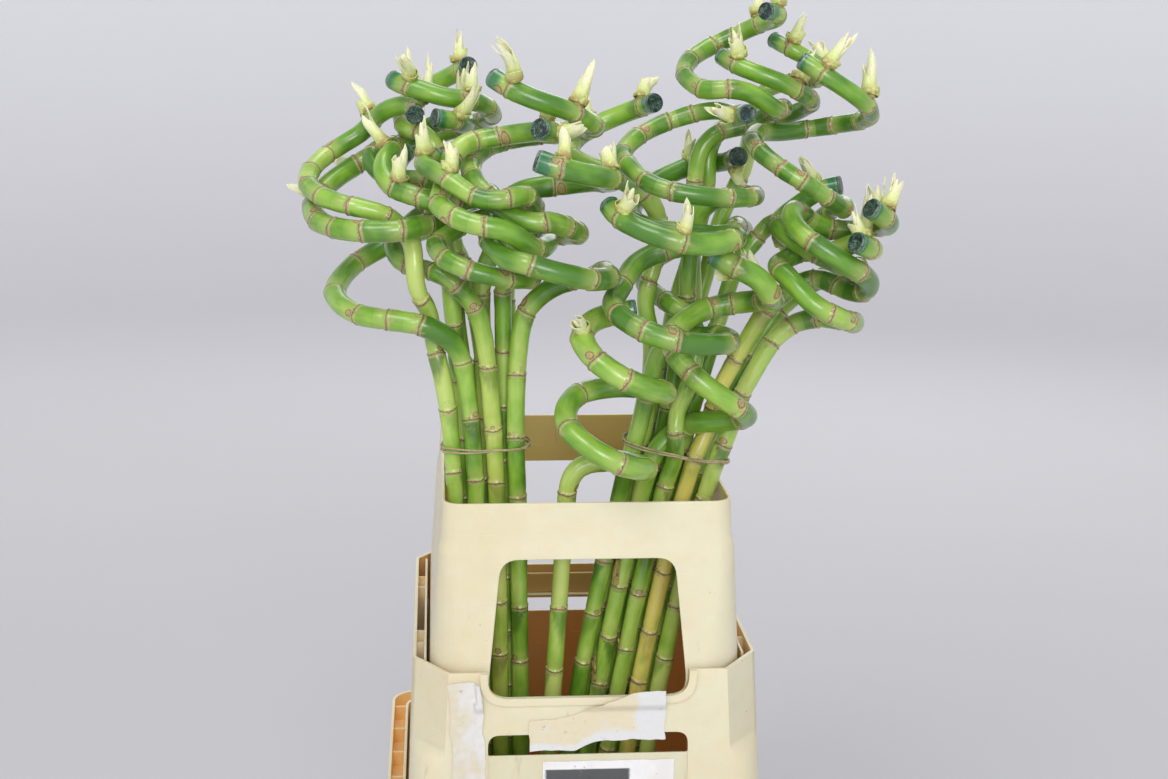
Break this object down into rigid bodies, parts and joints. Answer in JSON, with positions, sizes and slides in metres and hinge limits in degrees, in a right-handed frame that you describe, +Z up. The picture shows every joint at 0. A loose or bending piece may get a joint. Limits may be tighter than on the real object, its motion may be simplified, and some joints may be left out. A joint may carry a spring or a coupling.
{
  "type": "curly lucky bamboo in a flower container",
  "caption": "Bundles of curly lucky bamboo stalks with waxed tops, standing in water in a stacked plastic flower container with window collars.",
  "frame": {"origin": "centre of the container's flat underside", "axes": "+Z up along the stalks, -Y towards the front with the stickers, +X to the viewer's right"},
  "size_m": [0.4375, 0.3841, 0.8777],
  "materials": {
    "stalk": "waxy green stem",
    "wax": "dark teal wax",
    "plastic": "cream, moulded",
    "water": "still water",
    "rubber": "worn tan",
    "paper": "blank sticker"
  },
  "bodies": {
    "root": {"stalk_01": "stalk", "wax_01": "wax", "stalk_02": "stalk", "wax_02": "wax", "stalk_03": "stalk", "wax_03": "wax", "stalk_04": "stalk", "wax_04": "wax", "stalk_05": "stalk", "wax_05": "wax", "stalk_06": "stalk", "wax_06": "wax", "stalk_07": "stalk", "wax_07": "wax", "stalk_08": "stalk", "wax_08": "wax", "stalk_09": "stalk", "wax_09": "wax", "stalk_10": "stalk", "wax_10": "wax", "stalk_11": "stalk", "wax_11": "wax", "stalk_12": "stalk", "wax_12": "wax", "stalk_13": "stalk", "wax_13": "wax", "stalk_14": "stalk", "wax_14": "wax", "stalk_15": "stalk", "wax_15": "wax", "stalk_16": "stalk", "wax_16": "wax", "stalk_17": "stalk", "wax_17": "wax", "stalk_18": "stalk", "wax_18": "wax", "stalk_19": "stalk", "wax_19": "wax", "stalk_20": "stalk", "wax_20": "wax", "stalk_21": "stalk", "wax_21": "wax", "stalk_22": "stalk", "wax_22": "wax", "stalk_23": "stalk", "wax_23": "wax", "band_left": "rubber", "band_right": "rubber", "bucket": "plastic", "lower_collar": "plastic", "upper_collar": "plastic", "water": "water", "tall_sticker": "paper", "wide_sticker": "paper", "panel_card": "paper"}
  },
  "joints": []
}
